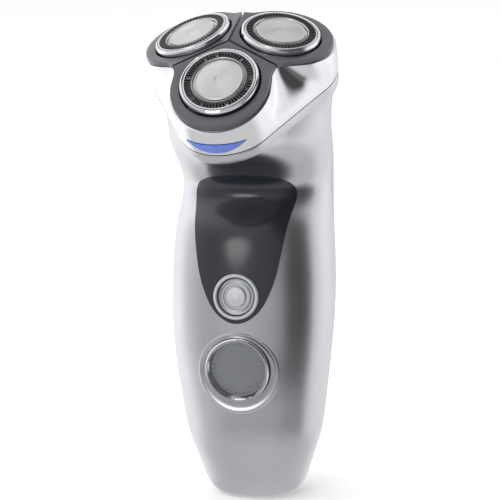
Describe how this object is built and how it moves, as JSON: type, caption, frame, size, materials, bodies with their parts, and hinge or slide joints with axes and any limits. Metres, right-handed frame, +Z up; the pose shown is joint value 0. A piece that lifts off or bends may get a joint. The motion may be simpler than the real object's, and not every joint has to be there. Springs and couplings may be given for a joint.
{
  "type": "rotary electric shaver",
  "caption": "Cordless rotary electric shaver: a silver handle with a thumb panel, power button and round display, and a tilted flip-top head with floating round cutters.",
  "frame": {"origin": "middle of the flat base of the handle", "axes": "+Z up along the handle, -Y towards the front with the controls, +X to the right as seen from the front"},
  "size_m": [0.0648, 0.0804, 0.1657],
  "materials": {
    "silver": "satin metallic silver",
    "chrome": "polished chrome plate",
    "petal": "dark grey plastic",
    "smoke": "dark smoked gloss",
    "blue": "translucent blue plastic",
    "steel": "brushed stainless steel",
    "rubber": "black rubber",
    "black": "black plastic",
    "grey": "grey plastic",
    "white": "white acetal",
    "board": "green fibre board",
    "glass": "clear window",
    "lcd": "grey liquid crystal face",
    "cell": "battery sleeve",
    "brass": "plated contact"
  },
  "bodies": {
    "handle": {"front_shell": "silver", "rear_shell": "silver", "rear_grip": "rubber", "collar": "silver", "hinge_pin": "steel", "gear_plate": "grey", "spindle_deck": "grey", "deck_screws": "steel", "motor_screws": "steel", "chamber_seal": "rubber", "motor": "steel", "thumb_panel": "smoke", "button_ring": "chrome", "display_surround": "silver", "display_bezel": "chrome", "display_window": "glass", "lcd_module": "lcd", "circuit_board": "board", "power_switch": "black", "chassis": "grey", "battery_contacts": "brass", "battery_cell_left": "cell", "battery_cell_right": "cell", "charging_socket": "black", "contact_pins": "brass", "case_screws": "steel", "trimmer_seat": "black", "trimmer_pin": "steel"},
    "shaving_unit": {"head_shell": "chrome", "retaining_frame": "grey", "petal_front": "petal", "petal_right": "petal", "petal_left": "petal"},
    "lock_wheel": {"lock_wheel": "white"},
    "release_button": {"release_button": "blue"},
    "power_button": {"power_button": "silver", "power_button_disc": "chrome"},
    "motor_rotor": {"motor_pinion": "brass"},
    "drive_front": {"drive_gear_front": "white", "spindle_front": "steel"},
    "floating_head_front": {"guard_ring_front": "chrome", "guard_front": "steel", "guard_cap_front": "steel"},
    "cutter_front": {"cutter_front": "steel"},
    "drive_right": {"drive_gear_right": "white", "spindle_right": "steel"},
    "floating_head_right": {"guard_ring_right": "chrome", "guard_right": "steel", "guard_cap_right": "steel"},
    "cutter_right": {"cutter_right": "steel"},
    "drive_left": {"drive_gear_left": "white", "spindle_left": "steel"},
    "floating_head_left": {"guard_ring_left": "chrome", "guard_left": "steel", "guard_cap_left": "steel"},
    "cutter_left": {"cutter_left": "steel"},
    "trimmer": {"trimmer_body": "black", "trimmer_comb": "steel"},
    "trimmer_blade": {"trimmer_blade": "steel"},
    "trimmer_slider": {"trimmer_slider": "black"}
  },
  "joints": [
    {"name": "head_flip", "type": "hinge", "parent": "handle", "child": "shaving_unit", "pos_m": [0, 0.01126, 0.15572], "axis": [-1, 0, 0], "range_deg": [0, 105]},
    {"name": "lock_wheel_turn", "type": "hinge", "parent": "shaving_unit", "child": "lock_wheel", "pos_m": [0, -0.01686, 0.14447], "axis": [0, -0.5592, 0.829], "range_deg": [-60, 0]},
    {"name": "release_press", "type": "slide", "parent": "shaving_unit", "child": "release_button", "axis": [0, 0.829, 0.5592], "range_m": [0, 0.0012], "stiffness_N_per_m": 900},
    {"name": "power_press", "type": "slide", "parent": "handle", "child": "power_button", "axis": [0, 0.9976, -0.0698], "range_m": [0, 0.0008], "stiffness_N_per_m": 1500},
    {"name": "motor_spin", "type": "hinge", "parent": "handle", "child": "motor_rotor", "pos_m": [0, -0.0107, 0.13535], "axis": [0, -0.5592, 0.829], "continuous": true},
    {"name": "drive_front_spin", "type": "hinge", "parent": "handle", "child": "drive_front", "pos_m": [0, -0.02676, 0.13055], "axis": [0, -0.5592, 0.829], "continuous": true},
    {"name": "head_front_float", "type": "slide", "parent": "shaving_unit", "child": "floating_head_front", "axis": [0, 0.7547, -0.6561], "range_m": [0, 0.0015], "stiffness_N_per_m": 700},
    {"name": "cutter_front_spin", "type": "hinge", "parent": "floating_head_front", "child": "cutter_front", "pos_m": [0, -0.03824, 0.14452], "axis": [0, -0.7547, 0.6561], "continuous": true},
    {"name": "drive_right_spin", "type": "hinge", "parent": "handle", "child": "drive_right", "pos_m": [0.01386, -0.00687, 0.14397], "axis": [0, -0.5592, 0.829], "continuous": true},
    {"name": "head_right_float", "type": "slide", "parent": "shaving_unit", "child": "floating_head_right", "axis": [-0.2241, 0.4329, -0.8732], "range_m": [0, 0.0015], "stiffness_N_per_m": 700},
    {"name": "cutter_right_spin", "type": "hinge", "parent": "floating_head_right", "child": "cutter_right", "pos_m": [0.01533, -0.01623, 0.15937], "axis": [0.2241, -0.4329, 0.8732], "continuous": true},
    {"name": "drive_left_spin", "type": "hinge", "parent": "handle", "child": "drive_left", "pos_m": [-0.01386, -0.00687, 0.14397], "axis": [0, -0.5592, 0.829], "continuous": true},
    {"name": "head_left_float", "type": "slide", "parent": "shaving_unit", "child": "floating_head_left", "axis": [0.2241, 0.4329, -0.8732], "range_m": [0, 0.0015], "stiffness_N_per_m": 700},
    {"name": "cutter_left_spin", "type": "hinge", "parent": "floating_head_left", "child": "cutter_left", "pos_m": [-0.01533, -0.01623, 0.15937], "axis": [-0.2241, -0.4329, 0.8732], "continuous": true},
    {"name": "trimmer_flip", "type": "hinge", "parent": "handle", "child": "trimmer", "pos_m": [0, 0.0246, 0.1162], "axis": [-1, 0, 0], "range_deg": [0, 76]},
    {"name": "trimmer_blade_stroke", "type": "slide", "parent": "trimmer", "child": "trimmer_blade", "axis": [1, 0, 0], "range_m": [-0.0006, 0.0006]},
    {"name": "trimmer_slider_slide", "type": "slide", "parent": "handle", "child": "trimmer_slider", "axis": [0, 0, 1], "range_m": [0, 0.0051]}
  ],
  "couplings": [
    {"joint": "motor_spin", "follows": "drive_front_spin", "ratio": -2.3333},
    {"joint": "cutter_front_spin", "follows": "drive_front_spin", "ratio": 1},
    {"joint": "drive_right_spin", "follows": "drive_front_spin", "ratio": 1},
    {"joint": "cutter_right_spin", "follows": "drive_front_spin", "ratio": 1},
    {"joint": "drive_left_spin", "follows": "drive_front_spin", "ratio": 1},
    {"joint": "cutter_left_spin", "follows": "drive_front_spin", "ratio": 1},
    {"joint": "trimmer_slider_slide", "follows": "trimmer_flip", "m_per_rad": 0.0037695}
  ]
}
